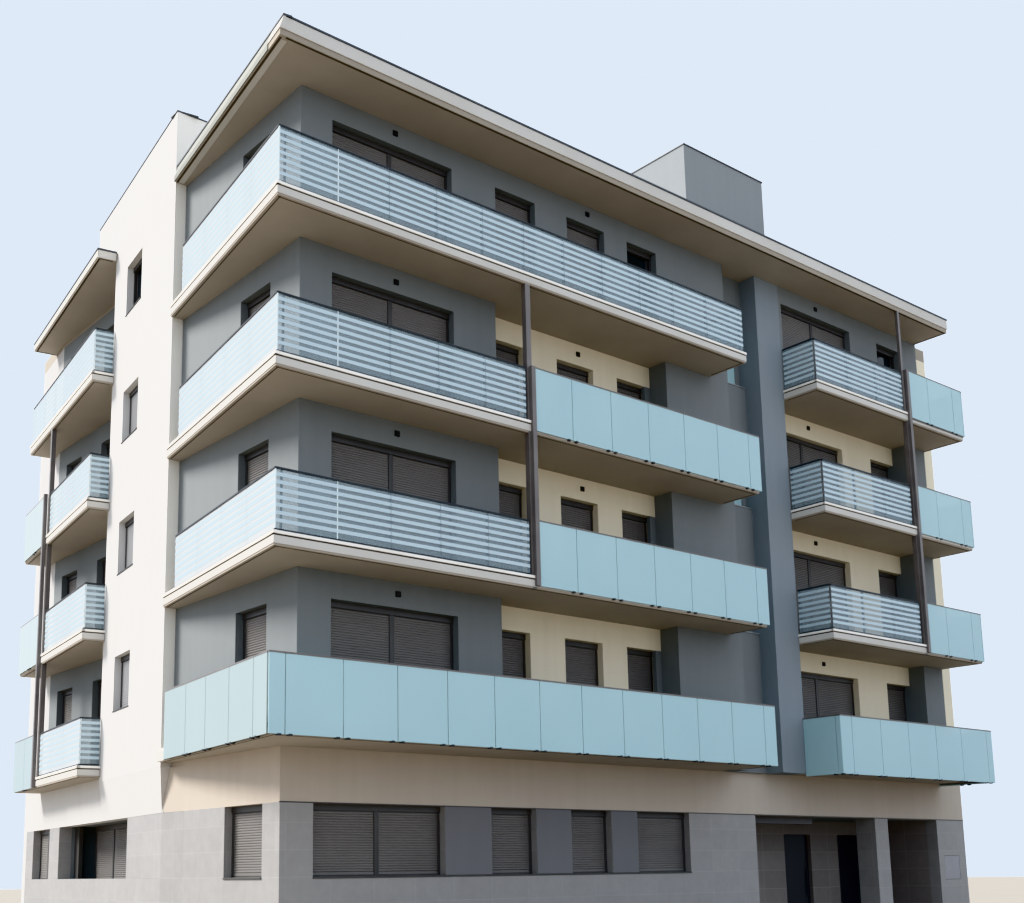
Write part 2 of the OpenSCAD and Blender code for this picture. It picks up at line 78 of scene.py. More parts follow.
def add(tree, kind, inputs=None, **settings):
    """Adds a shader node with its settings, input values and links"""
    node = tree.nodes.new(kind)
    for name, value in settings.items():
        setattr(node, name, value)
    for name, value in (inputs or {}).items():
        if isinstance(value, bpy.types.NodeSocket):
            tree.links.new(value, node.inputs[name])
        else:
            node.inputs[name].default_value = value
    return node


def blank(name):
    """A material with an empty node tree"""
    made = bpy.data.materials.new(name)
    made.use_nodes = True
    made.node_tree.nodes.clear()
    return made, made.node_tree


scene.world = bpy.data.worlds.new("pale_sky")
scene.world.use_nodes = True
scene.world.node_tree.nodes.clear()
sky = add(scene.world.node_tree, "ShaderNodeBackground",
          {"Color": linear("#dde8f7"), "Strength": 1.55})
add(scene.world.node_tree, "ShaderNodeOutputWorld", {"Surface": sky.outputs[0]})

sun = bpy.data.lights.new("soft_sun", "SUN")
sun.energy = 6.5
sun.angle = math.radians(22)
sun.color = linear("#fffaf4")[:3]
sunlight = Vector((1.0, -0.85, -1.16))
lamp = bpy.data.objects.new("soft_sun", sun)
lamp.rotation_euler = sunlight.to_track_quat("-Z", "Y").to_euler()
scene.collection.objects.link(lamp)

floor_mesh = bpy.data.meshes.new("studio_floor")
floor_bm = bmesh.new()
bmesh.ops.create_grid(floor_bm, x_segments=4, y_segments=4, size=160)
floor_bm.to_mesh(floor_mesh)
floor_bm.free()
floor = bpy.data.objects.new("studio_floor", floor_mesh)
scene.collection.objects.link(floor)
floor_paint, tree = blank("matt_floor_paint")
place = add(tree, "ShaderNodeTexCoord").outputs["Object"]
patches = add(tree, "ShaderNodeTexNoise", {"Vector": place, "Scale": 0.15, "Detail": 3.0})
tone = add(tree, "ShaderNodeMix", {0: patches.outputs[0], 6: linear("#8f877b"),
                                   7: linear("#978f83")}, data_type="RGBA")
shader = add(tree, "ShaderNodeBsdfPrincipled", {"Base Color": tone.outputs[2],
                                                "Roughness": 0.9})
add(tree, "ShaderNodeOutputMaterial", {"Surface": shader.outputs[0]})
floor_mesh.materials.append(floor_paint)


# Ground floor tiling
# Grey porcelain tiles of 900 by 450 mm, glued edge to edge with narrow flush joints up to the
# window heads. Fired in batches, so each tile differs a little in tone.
tile_w, tile_h = 0.9, 0.45
tile_joint = 0.007
tile_first_row, tile_first_column = 0.205, 0.35


def coat(finish, *names):
    """Gives CAD nodes their finish"""
    for name in names:
        nodes[name].data.materials.clear()
        nodes[name].data.materials.append(finish)


def wall_plane(tree):
    """Texture coordinates of any upright wall: length along it, then height"""
    place = add(tree, "ShaderNodeTexCoord").outputs["Object"]
    axes = add(tree, "ShaderNodeSeparateXYZ", {0: place})
    along = add(tree, "ShaderNodeMath", {0: axes.outputs[0], 1: axes.outputs[1]})
    flat = add(tree, "ShaderNodeCombineXYZ", {0: along.outputs[0], 1: axes.outputs[2]})
    return place, flat.outputs[0]


def porcelain(name, light, dark, joint):
    """Unglazed porcelain tiles with flush cement joints"""
    made, tree = blank(name)
    place, flat = wall_plane(tree)
    shifted = add(tree, "ShaderNodeMapping",
                  {"Vector": flat, "Location": (tile_first_column, -tile_first_row, 0)})
    tiles = add(tree, "ShaderNodeTexBrick",
                {"Vector": shifted.outputs[0], "Color1": linear(light), "Color2": linear(dark),
                 "Mortar": linear(joint), "Scale": 1.0, "Mortar Size": tile_joint,
                 "Mortar Smooth": 0.2, "Bias": 0.0, "Brick Width": tile_w,
                 "Row Height": tile_h}, offset=0.0)
    clouds = add(tree, "ShaderNodeTexNoise", {"Vector": place, "Scale": 4.0, "Detail": 6.0,
                                              "Roughness": 0.65})
    tint = add(tree, "ShaderNodeMapRange", {0: clouds.outputs[0], 1: 0.3, 2: 0.7, 3: 0.93,
                                            4: 1.05})
    tone = add(tree, "ShaderNodeMix", {0: 1.0, 6: tiles.outputs[0], 7: tint.outputs[0]},
               data_type="RGBA", blend_type="MULTIPLY")
    relief = add(tree, "ShaderNodeBump", {"Height": tiles.outputs[1], "Strength": 0.25,
                                          "Distance": 0.002}, invert=True)
    shader = add(tree, "ShaderNodeBsdfPrincipled",
                 {"Base Color": tone.outputs[2], "Roughness": 0.55,
                  "Normal": relief.outputs[0]})
    add(tree, "ShaderNodeOutputMaterial", {"Surface": shader.outputs[0]})
    return made


# Honed and unglazed, so matt and faintly clouded, with joints a shade lighter
street_tile = porcelain("grey_porcelain_tile", "#949290", "#8f8d8b", "#999795")
coat(street_tile, "tile_front_wall", "tile_side_wall", "tile_street_wall", "tile_end_pier",
     "porch_column")


# Porch
# A deep open porch lined with brown grey tiles of the same size, with two steel doors in its
# back wall.
porch_tile = porcelain("brown_porch_tile", "#8d8783", "#85807c", "#9c9792")
coat(porch_tile, "porch_side_walls", "porch_back_wall", "porch_lintel")

# Powder coat on sheet steel: a fine orange peel under a soft sheen, dulled by dust in patches
door_steel, tree = blank("powder_coated_door_steel")
place = add(tree, "ShaderNodeTexCoord").outputs["Object"]
peel = add(tree, "ShaderNodeTexNoise", {"Vector": place, "Scale": 60.0, "Detail": 2.0})
relief = add(tree, "ShaderNodeBump", {"Height": peel.outputs[0], "Strength": 0.15,
                                      "Distance": 0.001})
dust = add(tree, "ShaderNodeTexNoise", {"Vector": place, "Scale": 1.4, "Detail": 4.0})
tone = add(tree, "ShaderNodeMix", {0: dust.outputs[0], 6: linear("#1f1e20"),
                                   7: linear("#2d2b2d")}, data_type="RGBA")
shader = add(tree, "ShaderNodeBsdfPrincipled", {"Base Color": tone.outputs[2],
                                                "Roughness": 0.4,
                                                "Normal": relief.outputs[0]})
add(tree, "ShaderNodeOutputMaterial", {"Surface": shader.outputs[0]})
coat(door_steel, "porch_door_left", "porch_door_right")


# Render coats
# The walls above the tiles are masonry with a float finished acrylic render in cream, white
# and greys. The finish is matt, and rain leaves faint upright marks on it. Its grain is 2 mm in
# the real coat; here it is drawn ten times coarser so that it shows at this distance.
grain = 0.02


def render_coat(name, colour, stain, mottle=0.5):
    """Float finished acrylic render with faint clouding and rain marks"""
    made, tree = blank(name)
    place = add(tree, "ShaderNodeTexCoord").outputs["Object"]
    clouds = add(tree, "ShaderNodeTexNoise", {"Vector": place, "Scale": 0.8, "Detail": 6.0,
                                              "Roughness": 0.62})
    upright = add(tree, "ShaderNodeMapping", {"Vector": place, "Scale": (5.0, 5.0, 0.35)})
    marks = add(tree, "ShaderNodeTexNoise", {"Vector": upright.outputs[0], "Scale": 1.0,
                                             "Detail": 4.0})
    both = add(tree, "ShaderNodeMath", {0: clouds.outputs[0], 1: marks.outputs[0]},
               operation="MULTIPLY")
    amount = add(tree, "ShaderNodeMapRange", {0: both.outputs[0], 1: 0.16, 2: 0.40, 3: 0.0,
                                              4: mottle})
    tone = add(tree, "ShaderNodeMix", {0: amount.outputs[0], 6: linear(colour),
                                       7: linear(stain)}, data_type="RGBA")
    sand = add(tree, "ShaderNodeTexNoise", {"Vector": place, "Scale": 1 / grain,
                                            "Detail": 3.0})
    relief = add(tree, "ShaderNodeBump", {"Height": sand.outputs[0], "Strength": 0.35,
                                          "Distance": 0.003})
    shader = add(tree, "ShaderNodeBsdfPrincipled",
                 {"Base Color": tone.outputs[2], "Roughness": 0.85,
                  "Normal": relief.outputs[0]})
    add(tree, "ShaderNodeOutputMaterial", {"Surface": shader.outputs[0]})
    return made


cream = render_coat("cream_acrylic_render", "#e4dac3", "#dad0b9")
coat(cream, "cream_wall_mid", "cream_wall_right")
# The band under the first balconies is a less yellow cream, darkened with painted shade from the
# balconies above it
band_cream_painted_shade = render_coat("band_cream_render_with_painted_shade", "#b9aea1", "#afa497")
coat(band_cream_painted_shade, "cream_band")
white = render_coat("white_acrylic_render", "#cac8c5", "#c2bfbc")
coat(white, "white_street_wall", "white_return_wall", "white_parapet", "rear_wall")
grey = render_coat("dark_grey_acrylic_render", "#797d7e", "#737778")
coat(grey, "corner_front_wall", "corner_side_wall", "top_wall_mid", "grey_volume",
     "recess_wall", "top_wall_right", "end_volume", "loggia_walls")
# The pier is the grey render painted lighter and bluer, as painted sky light on its open face
pier_grey_painted_skylight = render_coat("grey_render_painted_skylight", "#838b91", "#7d858b")
coat(pier_grey_painted_skylight, "grey_pier")
pale_grey = render_coat("pale_grey_render", "#888c8e", "#828688")
coat(pale_grey, "stair_head", "porch_ceiling")
party = render_coat("bare_party_wall_render", "#aea79b", "#9c9487", mottle=0.9)
coat(party, "party_wall")

# The left bay's wall is grey where it lies back behind the balconies and white from there on
bay_back_y = 6.0
left_coat, tree = blank("grey_and_white_render")
place = add(tree, "ShaderNodeTexCoord").outputs["Object"]
axes = add(tree, "ShaderNodeSeparateXYZ", {0: place})
beyond = add(tree, "ShaderNodeMath", {0: axes.outputs[1], 1: bay_back_y},
             operation="GREATER_THAN")
clouds = add(tree, "ShaderNodeTexNoise", {"Vector": place, "Scale": 0.8, "Detail": 6.0})
tint = add(tree, "ShaderNodeMapRange", {0: clouds.outputs[0], 1: 0.3, 2: 0.7, 3: 0.95, 4: 1.03})
paint = add(tree, "ShaderNodeMix", {0: beyond.outputs[0], 6: linear("#797d7e"),
                                    7: linear("#bdbbb9")}, data_type="RGBA")
tone = add(tree, "ShaderNodeMix", {0: 1.0, 6: paint.outputs[2], 7: tint.outputs[0]},
           data_type="RGBA", blend_type="MULTIPLY")
shader = add(tree, "ShaderNodeBsdfPrincipled", {"Base Color": tone.outputs[2],
                                                "Roughness": 0.85})
add(tree, "ShaderNodeOutputMaterial", {"Surface": shader.outputs[0]})
coat(left_coat, "left_bay_wall")


# Slabs, balconies and roof
# Reinforced concrete. The edges and the undersides are painted matt, the balcony floors are
# tiled in small squares, and the flat roof is laid with pale gravel.
floor_tile, floor_joint = 0.33, 0.006
# The stones are 20 to 30 mm; here they are drawn twice as coarse so that they show
stones_per_metre = 18.0


def slab_finish(name, edge, soffit, top, tiled):
    """Painted edges and undersides, told apart from the walked or gravelled top"""
    made, tree = blank(name)
    origin = add(tree, "ShaderNodeTexCoord")
    place = origin.outputs["Object"]
    facing = add(tree, "ShaderNodeSeparateXYZ", {0: origin.outputs["Normal"]}).outputs[2]
    below = add(tree, "ShaderNodeMath", {0: facing, 1: -0.5}, operation="LESS_THAN")
    above = add(tree, "ShaderNodeMath", {0: facing, 1: 0.5}, operation="GREATER_THAN")
    clouds = add(tree, "ShaderNodeTexNoise", {"Vector": place, "Scale": 0.9, "Detail": 6.0})
    tint = add(tree, "ShaderNodeMapRange", {0: clouds.outputs[0], 1: 0.3, 2: 0.7, 3: 0.94,
                                            4: 1.04})
    paint = add(tree, "ShaderNodeMix", {0: below.outputs[0], 6: linear(edge),
                                        7: linear(soffit)}, data_type="RGBA")
    if tiled:
        laid = add(tree, "ShaderNodeTexBrick",
                   {"Vector": place, "Color1": linear(top), "Color2": linear(top),
                    "Mortar": linear("#6f6a62"), "Scale": 1.0, "Mortar Size": floor_joint,
                    "Brick Width": floor_tile, "Row Height": floor_tile},
                   offset=0.0).outputs[0]
    else:
        stones = add(tree, "ShaderNodeTexVoronoi", {"Vector": place,
                                                    "Scale": stones_per_metre})
        laid = add(tree, "ShaderNodeMix", {0: stones.outputs[0], 6: linear(top),
                                           7: linear("#77726a")},
                   data_type="RGBA").outputs[2]
    shown = add(tree, "ShaderNodeMix", {0: above.outputs[0], 6: paint.outputs[2], 7: laid},
                data_type="RGBA")
    tone = add(tree, "ShaderNodeMix", {0: 1.0, 6: shown.outputs[2], 7: tint.outputs[0]},
               data_type="RGBA", blend_type="MULTIPLY")
    sand = add(tree, "ShaderNodeTexNoise", {"Vector": place, "Scale": 1 / grain})
    relief = add(tree, "ShaderNodeBump", {"Height": sand.outputs[0], "Strength": 0.2,
                                          "Distance": 0.003})
    shader = add(tree, "ShaderNodeBsdfPrincipled",
                 {"Base Color": tone.outputs[2], "Roughness": 0.8,
                  "Normal": relief.outputs[0]})
    add(tree, "ShaderNodeOutputMaterial", {"Surface": shader.outputs[0]})
    return made


balcony_paint = slab_finish("painted_balcony_concrete", "#a1988c", "#a79f94", "#9a8f80", True)
roof_paint = slab_finish("painted_roof_concrete", "#9a9184", "#a79f94", "#a7a297", False)
coat(balcony_paint, "corner_balconies", "right_balconies", "left_balconies", "floor_slabs",
     "ground_slab")
coat(roof_paint, "roof_slab")


# Edges of the slabs
# A cast stone strip closes the balcony tiling, and below it a painted fascia covers the slab
# edge. The shadow gap between them and the rain groove in the soffit behind the edge are dark
# strips of painted shade. The heights of the four are given from the balcony floor.
storey = [3.96, 6.96, 9.96, 12.96]
fascia_foot, fascia_head = -0.205, -0.072
edging_foot, edging_head = -0.045, 0.008
gap_foot, gap_head = -0.073, -0.044
groove_foot, groove_head = -0.239, -0.234
turn_deg = 8.35
plan_middle = (11.0, 9.0, 0.0)
street = Matrix.Rotation(math.radians(-turn_deg), 4, "Z")
plain = Matrix.Identity(4)


def block(bm, low, high, bevel=0.0, turn=plain):
    """Adds a box between two corners, its edges eased, turned about the balcony corner"""
    size = [b - a for a, b in zip(low, high)]
    middle = [(a + b) / 2 for a, b in zip(low, high)]
    made = bmesh.ops.create_cube(
        bm, size=1, matrix=turn @ Matrix.Translation(middle) @ Matrix.Diagonal((*size, 1)))
    if bevel:
        edges = list({edge for vert in made["verts"] for edge in vert.link_edges})
        bmesh.ops.bevel(bm, geom=edges, affect="EDGES", offset=bevel, segments=1,
                        profile=0.5, material=-1)


def finish_piece(name, bm, finish, replaced=(), body="block"):
    """Moves a mesh from the balcony corner into the frame and fixes it to its body"""
    bmesh.ops.translate(bm, vec=[-step for step in plan_middle], verts=bm.verts)
    bmesh.ops.recalc_face_normals(bm, faces=bm.faces)
    mesh = bpy.data.meshes.new(name)
    bm.to_mesh(mesh)
    bm.free()
    mesh.materials.append(finish)
    piece = bpy.data.objects.new(name, mesh)
    scene.collection.objects.link(piece)
    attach(piece, body)
    if replaced:
        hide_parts(*replaced)


def plain_finish(name, colour, worn, roughness, metallic=0.0, size=0.4):
    """Paint, cast stone or coated metal whose tone drifts over the given size in metres"""
    made, tree = blank(name)
    place = add(tree, "ShaderNodeTexCoord").outputs["Object"]
    drift = add(tree, "ShaderNodeTexNoise", {"Vector": place, "Scale": 1 / size,
                                             "Detail": 5.0})
    amount = add(tree, "ShaderNodeMapRange", {0: drift.outputs[0], 1: 0.35, 2: 0.7})
    tone = add(tree, "ShaderNodeMix", {0: amount.outputs[0], 6: linear(colour),
                                       7: linear(worn)}, data_type="RGBA")
    fine = add(tree, "ShaderNodeTexNoise", {"Vector": place, "Scale": 80.0})
    relief = add(tree, "ShaderNodeBump", {"Height": fine.outputs[0], "Strength": 0.1,
                                          "Distance": 0.001})
    shader = add(tree, "ShaderNodeBsdfPrincipled",
                 {"Base Color": tone.outputs[2], "Roughness": roughness,
                  "Metallic": metallic, "Normal": relief.outputs[0]})
    add(tree, "ShaderNodeOutputMaterial", {"Surface": shader.outputs[0]})
    return made


def drawn(bm, outline, start, end, turn=plain):
    """Adds a bar: an outline of depth and height, drawn out along x"""
    corners = [bm.verts.new(turn @ Vector((start, y, z))) for y, z in outline]
    made = bmesh.ops.extrude_face_region(bm, geom=[bm.faces.new(corners)])
    bmesh.ops.translate(bm, vec=turn.to_3x3() @ Vector((end - start, 0, 0)),
                        verts=[v for v in made["geom"] if isinstance(v, bmesh.types.BMVert)])


# Masonry paint and cast stone are both matt, the stone paler and a little dirtier in places
fascia_paint = plain_finish("painted_fascia", "#c6c3bd", "#bdb9b2", 0.7, size=1.5)
cast_stone = plain_finish("cast_stone_edging", "#f2efe9", "#e6e1d8", 0.75, size=0.8)
# The dark strips of the shadow gaps and the soffit grooves are painted shade
groove_painted_shade = plain_finish("shaded_groove", "#4a4238", "#403930", 0.9)
fascia = bmesh.new()
edging = bmesh.new()
grooves = bmesh.new()


def edge_run(start, end, level, turn=plain, out=0.0, proud=0.012):
    """Fascia, edging, shadow gap and soffit groove along an edge in x that faces -y"""
    block(fascia, (start, out - proud, level + fascia_foot),
          (end, out + 0.001, level + fascia_head), 0.004, turn)
    block(edging, (start - 0.01, out - proud - 0.01, level + edging_foot),
          (end + 0.01, out + 0.05, level + edging_head), 0.004, turn)
    block(grooves, (start + 0.01, out - 0.003, level + gap_foot),
          (end - 0.01, out + 0.001, level + gap_head), 0.0, turn)
    block(grooves, (start + 0.06, out + 0.055, level + groove_foot),
          (end - 0.06, out + 0.075, level + groove_head), 0.0, turn)


left_facing = Matrix.Rotation(math.radians(-90), 4, "Z")
right_facing = Matrix.Rotation(math.radians(90), 4, "Z")
street_facing = street @ left_facing
# Where the balconies end along the front, how far those of the side street stand out and reach
# along it, and where the face of the white block lies
corner_end, low_end, bay_start, bay_end = 12.02, 12.22, 14.65, 21.05
side_out, side_run = 0.14, 5.486
left_out, left_near = 0.6, 9.65
block_face = -0.105
for k, level in enumerate(storey):
    end = corner_end if k == 3 else low_end
    edge_run(-0.1535, end + 0.012, level)
    edge_run(-side_run, 0.034, level, street_facing, -side_out)
    edge_run(0.0, 1.0, level, right_facing, -end)
    edge_run(bay_start - 0.012, bay_end + 0.012, level)
    edge_run(-0.94, 0.0, level, left_facing, bay_start)
    edge_run(0.0, 1.5, level, right_facing, -bay_end)
    edge_run(-15.75, -left_near + 0.012, level, street_facing, -left_out)
    edge_run(-left_out - 0.012, block_face - 0.012, level, street, left_near)
# A painted ledge boxes in the end of the first storey's glass rail, past its last side pane
block(fascia, (-0.212, 4.98, storey[0] - 0.24), (-side_out - 0.002, 5.449, storey[0] - 0.06),
      0.003, street)
finish_piece("balcony_fascias", fascia, fascia_paint)
finish_piece("balcony_edgings", edging, cast_stone)
finish_piece("balcony_drip_grooves", grooves, groove_painted_shade)


# Edges of the roof
# A painted fascia under a flashing of folded zinc. Along the front the fascia stands over a
# lower grey step, and along the side street it is clad in zinc and leans back. The canopy over
# the left bay is thinner.
roof_soffit, roof_step, roof_high, roof_end = 15.69, 15.80, 16.045, 20.7
canopy_low, canopy_high, canopy_end = 15.77, 15.97, 16.0
lean_out, lean_back, cladding_back = -0.147, -0.07, -0.03
cladding_start = -0.5
# Weathered zinc is dull, with a slight metal sheen and a tone that drifts
flashing_metal = plain_finish("folded_zinc_flashing", "#4b4f54", "#565a5e", 0.5, 0.5)
side_zinc = plain_finish("weathered_zinc_cladding", "#77776f", "#6e6f68", 0.6, 0.3)
fascia = bmesh.new()
flashing = bmesh.new()
side_metal = bmesh.new()
grooves = bmesh.new()


def roof_run(start, end, low, high, soffit, turn=plain, out=0.0):
    """Fascia, flashing and soffit groove along a roof edge that faces -y"""
    block(fascia, (start, out - 0.02, low), (end, out + 0.001, high), 0.004, turn)
    block(flashing, (start - 0.01, out - 0.035, high + 0.002),
          (end + 0.01, out + 0.14, high + 0.043), 0.004, turn)
    block(grooves, (start + 0.06, out + 0.02, soffit - 0.004),
          (end - 0.06, out + 0.06, soffit + 0.001), 0.0, turn)


roof_run(-0.05, roof_end + 0.02, roof_step, roof_high, roof_soffit)
roof_run(0.0, 1.5, roof_step, roof_high, roof_soffit, right_facing, -roof_end)
drawn(fascia, [(lean_out, roof_step), (lean_back, roof_high), (cladding_back, roof_high),
               (cladding_back, roof_step)], cladding_start, 0.036, street_facing)
drawn(side_metal, [(lean_out, roof_soffit + 0.002), (lean_out, roof_step),
                   (lean_back, roof_high), (cladding_back, roof_high),
                   (cladding_back, roof_step), (-0.128, roof_soffit + 0.002)],
      -side_run, cladding_start, street_facing)
# A pale strip under the side soffit's edge is a painted highlight where the sun catches it, and the
# dark groove outside it is painted shade
block(fascia, (-side_run + 0.02, -0.05, roof_soffit - 0.008),
      (-0.12, 0.06, roof_soffit + 0.0005), 0.0, street_facing)
block(flashing, (-side_run, -0.085, roof_high + 0.002), (0.045, 0.09, roof_high + 0.043), 0.004,
      street_facing)
block(grooves, (-side_run + 0.02, -0.10, roof_soffit - 0.004),
      (-0.06, -0.06, roof_soffit + 0.001), 0.0, street_facing)
roof_run(-canopy_end, -9.68, canopy_low + 0.03, canopy_high - 0.01, canopy_low, street_facing,
         -0.55)
roof_run(-0.57, block_face - 0.03, canopy_low + 0.002, canopy_high - 0.01, canopy_low, street,
         9.70)
roof_run(-0.04, 0.57, canopy_low + 0.002, canopy_high - 0.01, canopy_low,
         street @ Matrix.Rotation(math.pi, 4, "Z"), -canopy_end)
finish_piece("roof_fascias", fascia, fascia_paint)
finish_piece("roof_flashings", flashing, flashing_metal)
finish_piece("roof_side_cladding", side_metal, side_zinc)
finish_piece("roof_drip_grooves", grooves, groove_painted_shade)


# Roller shutters
# Rounded slats of 45 mm run in side rails set back in the wall, with a heavier bottom rail and
# a dark box cover above. The wide openings have a post in the middle.
slat_h, slat_bulge = 0.045, 0.011
foot_rail_h = 0.055
rail_w, rail_proud, frame_back = 0.05, 0.014, 0.05
cover_h, cover_proud = 0.11, 0.03
threshold_h, threshold_proud = 0.02, 0.02
sash_w, sash_front, sash_back, sash_foot_h = 0.06, 0.045, 0.085, 0.07
pane_front, pane_back = 0.06, 0.075
board_in = 0.17
# Lacquered aluminium is smooth and half matt
shutter_paint = plain_finish("coated_shutter_aluminium", "#726f6c", "#6a6764", 0.5, 0.0, 1.2)
pale_paint = plain_finish("pale_shutter_aluminium", "#8f9092", "#868789", 0.5, 0.0, 1.2)
frame_paint = plain_finish("coated_frame_aluminium", "#4b4947", "#42403e", 0.45, 0.0, 1.0)
coat(frame_paint, "shutter_box")

# Float glass, coloured near black as painted shade of the dark rooms behind it: glossy, with a
# faint ripple in what it mirrors
pane_dark, tree = blank("dark_window_glass")
place = add(tree, "ShaderNodeTexCoord").outputs["Object"]
ripple = add(tree, "ShaderNodeTexNoise", {"Vector": place, "Scale": 1.2, "Detail": 1.0})
tone = add(tree, "ShaderNodeMix", {0: ripple.outputs[0], 6: linear("#15181a"),
                                   7: linear("#22272a")}, data_type="RGBA")
relief = add(tree, "ShaderNodeBump", {"Height": ripple.outputs[0], "Strength": 0.04,
                                      "Distance": 0.01})
shader = add(tree, "ShaderNodeBsdfPrincipled", {"Base Color": tone.outputs[2],
                                                "Roughness": 0.06, "IOR": 1.5,
                                                "Normal": relief.outputs[0]})
add(tree, "ShaderNodeOutputMaterial", {"Surface": shader.outputs[0]})


def curtain(bm, start, end, foot, head, depth, turn):
    """Adds one roller shutter curtain, its slat outline drawn out along x"""
    outline = [(depth + 0.012, head), (depth + 0.012, foot)]
    level = foot
    while level < head - 0.002:
        top = min(level + slat_h, head)
        rise = top - level
        outline += [(depth, level), (depth - slat_bulge, level + 0.25 * rise),
                    (depth - slat_bulge, level + 0.7 * rise), (depth, level + 0.95 * rise)]
        level = top
    drawn(bm, outline, start, end, turn)


def shuttered(parts, turn, face, across, upright, leaves=1, raised=0.0, depth=board_in):
    """Adds an opening's side rails, shutter curtains and, below a raised one, a window"""
    start, end = across
    foot, head = upright
    inner = face + depth
    back = inner + frame_back
    frames, slats, panes = parts
    width = (end - start) / leaves
    for i in range(leaves + 1):
        middle = start + i * width
        block(frames, (max(middle - rail_w, start), inner - rail_proud, foot),
              (min(middle + rail_w, end), back, head), 0.003, turn)
    block(frames, (start, inner - cover_proud, head - cover_h), (end, back, head), 0.0, turn)
    block(frames, (start, inner - threshold_proud, foot), (end, back, foot + threshold_h), 0.0,
          turn)
    for i in range(leaves):
        low = start + i * width + rail_w
        high = start + (i + 1) * width - rail_w
        bottom = foot + threshold_h + 0.002 + raised * (head - foot)
        if bottom + 2 * slat_h < head - cover_h:
            curtain(slats, low, high, bottom + foot_rail_h, head - cover_h, inner + 0.012, turn)
            block(slats, (low, inner - 0.004, bottom),
                  (high, inner + 0.024, bottom + foot_rail_h - 0.002), 0.004, turn)
        if raised:
            block(panes, (low, inner + pane_front, foot + sash_w),
                  (high, inner + pane_back, head), 0.0, turn)
            for x in (low, high - sash_w):
                block(frames, (x, inner + sash_front, foot),
                      (x + sash_w, inner + sash_back, head), 0.003, turn)
            block(frames, (low, inner + sash_front, foot),
                  (high, inner + sash_back, foot + sash_foot_h), 0.003, turn)


def finish_windows(name, parts, replaced, paint=shutter_paint):
    """Finishes the frames, curtains and panes of a group of openings"""
    frames, slats, panes = parts
    finish_piece(name + "_frames", frames, frame_paint, replaced)
    finish_piece(name + "_curtains", slats, paint)
    if len(panes.verts):
        finish_piece(name + "_panes", panes, pane_dark)
    else:
        panes.free()


# Shutters of the front
# The corner volume has one wide opening a storey, and three narrow ones follow it in the cream
# wall. The last of them has a grey rendered jamb, where the grey volume begins. On the top
# storey all stand in the grey wall, and the last shutter is raised.
front_y, grey_y = 1.52, 1.02
foot_above, head_above = 0.02, 2.29
jamb_start, jamb_end = 10.326, 10.499
wide = (1.62, 4.43)
cream_openings = [(5.56, 6.68), (7.63, 8.71), (9.44, 10.38)]
top_openings = [((5.56, 6.65), 0.0), ((7.56, 8.68), 0.0), ((9.39, 10.33), 1.0)]
side_face, side_opening = 0.94, (-3.095, -2.02)
parts = [bmesh.new() for _ in range(3)]
for k, level in enumerate(storey):
    upright = (level + foot_above, level + head_above)
    shuttered(parts, plain, grey_y, wide, upright, 2)
    shuttered(parts, left_facing, side_face, side_opening, upright)
    if k < 3:
        for across in cream_openings:
            shuttered(parts, plain, front_y, across, upright)
    else:
        for across, raised in top_openings:
            shuttered(parts, plain, grey_y, across, upright, 1, raised)
finish_windows("corner", parts, ["corner_shutters"])
jambs = bmesh.new()
for level in storey[:3]:
    block(jambs, (jamb_start, front_y - 0.003, level + 0.01),
          (jamb_end, front_y + 0.1, level + head_above), 0.0)
finish_piece("grey_window_jambs", jambs, grey)


# Shutters of the right bay and of the recess
# One wide and one narrow opening a storey, the narrow one of the top storey with its shutter
# raised. The recess has low fixed windows over a pale metal sill, at floor level.
bay_top_y = 0.95
bay_openings = [((14.75, 17.77), 2, 0.0), ((19.03, 20.08), 1, 0.0)]
bay_top_openings = [((14.75, 17.60), 2, 0.0), ((18.81, 19.86), 1, 1.0)]
recess_y, recess_opening, recess_head = 1.40, (12.8, 13.6), 1.1
recess_sill = (12.642, 13.758)
parts = [bmesh.new() for _ in range(3)]
sills = bmesh.new()
for k, level in enumerate(storey):
    upright = (level + foot_above, level + head_above)
    openings, face = (bay_top_openings, bay_top_y) if k == 3 else (bay_openings, front_y)
    for across, leaves, raised in openings:
        shuttered(parts, plain, face, across, upright, leaves, raised)
    if k > 0:
        shuttered(parts, plain, recess_y + 0.15, recess_opening,
                  (level + 0.03, level + recess_head), 1, 1.0, 0.05)
        block(sills, (recess_sill[0], recess_y - 0.02, level - 0.012),
              (recess_sill[1], recess_y + 0.15, level + 0.012), 0.004)
finish_windows("right_bay", parts, ["right_shutters"])
# Mill finished aluminium, dulled by rain
pale_metal = plain_finish("pale_sill_metal", "#a9adb0", "#9fa3a6", 0.5, 0.3)
finish_piece("recess_sills", sills, pale_metal)


# Ground floor windows of the front
# Shuttered openings under the cream band, tied together by one thin metal sill. Smooth grey
# render panels fill the wall between them.
sill_z, sill_t, tile_z = 1.555, 0.03, 2.79
tiled_face, tiled_side_x, front_end = 1.5, 0.93, 22.1
ground_openings = [((1.59, 4.44), 2), ((5.56, 6.70), 1), ((7.64, 8.76), 1), ((9.53, 11.14), 1)]
side_near, side_far = 2.06, 3.36
sill_start, sill_end = ground_openings[0][0][0], ground_openings[-1][0][1]
parts = [bmesh.new() for _ in range(3)]
for across, leaves in ground_openings:
    shuttered(parts, plain, tiled_face, across, (sill_z, tile_z), leaves)
shuttered(parts, left_facing, tiled_side_x, (-side_far, -side_near), (sill_z, tile_z))
block(parts[0], (sill_start, tiled_face - 0.02, sill_z - sill_t),
      (sill_end, tiled_face + 0.01, sill_z), 0.003)
block(parts[0], (tiled_side_x - 0.02, side_near, sill_z - sill_t),
      (tiled_side_x + 0.01, side_far, sill_z), 0.003)
